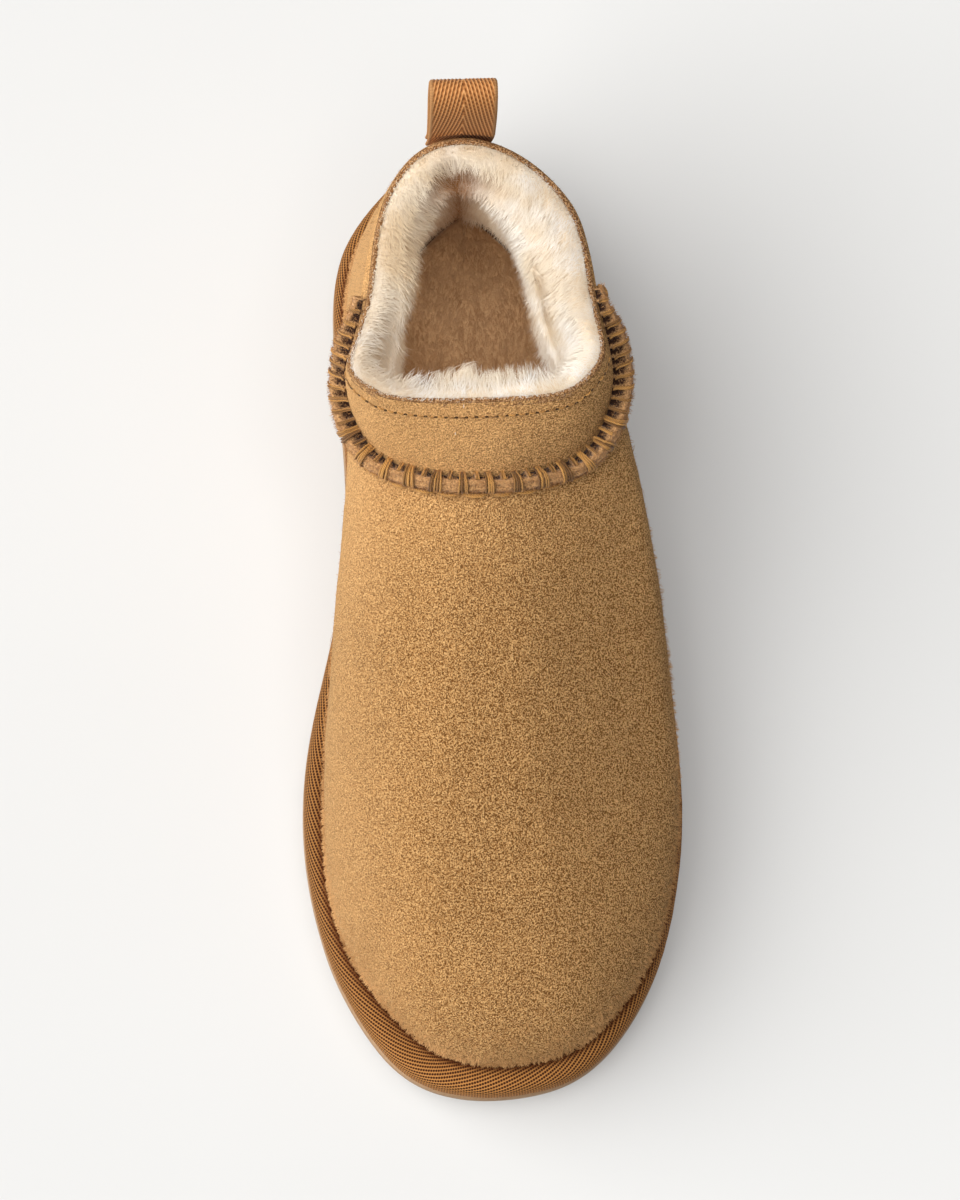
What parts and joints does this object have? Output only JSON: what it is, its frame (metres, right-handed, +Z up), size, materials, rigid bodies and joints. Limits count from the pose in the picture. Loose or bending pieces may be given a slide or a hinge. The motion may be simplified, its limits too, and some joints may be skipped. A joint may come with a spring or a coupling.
{
  "type": "shearling ankle slipper",
  "caption": "Ankle-high suede slipper with a deep fleece lining, a raised whipstitched instep seam, a heel pull loop and a tape-bound platform sole.",
  "frame": {"origin": "bottom centre of the bounding box, on the floor under the middle of the sole", "axes": "+Z up, toe towards -Y and heel towards +Y, lateral (outer) side of the left foot towards +X"},
  "size_m": [0.1048, 0.264, 0.1372],
  "materials": {
    "sole_rubber": "matte moulded foam rubber, light tan",
    "binding_tape": "rolled twill tape with fine diagonal ribs, russet brown",
    "footbed_pile": "short brushed pile, brown",
    "suede": "napped suede with a fine mottled grain, chestnut tan",
    "fleece": "dense curly sheepskin fleece, cream",
    "seam_edge": "raw cut suede edge, warm brown",
    "stitch_thread": "waxed twisted thread, golden brown",
    "loop_webbing": "herringbone twill webbing, tan brown"
  },
  "bodies": {
    "root": {"outsole": "sole_rubber", "midsole": "binding_tape", "insole": "footbed_pile", "upper": "suede", "seam_ridge": "seam_edge", "pull_loop": "loop_webbing"}
  },
  "joints": []
}
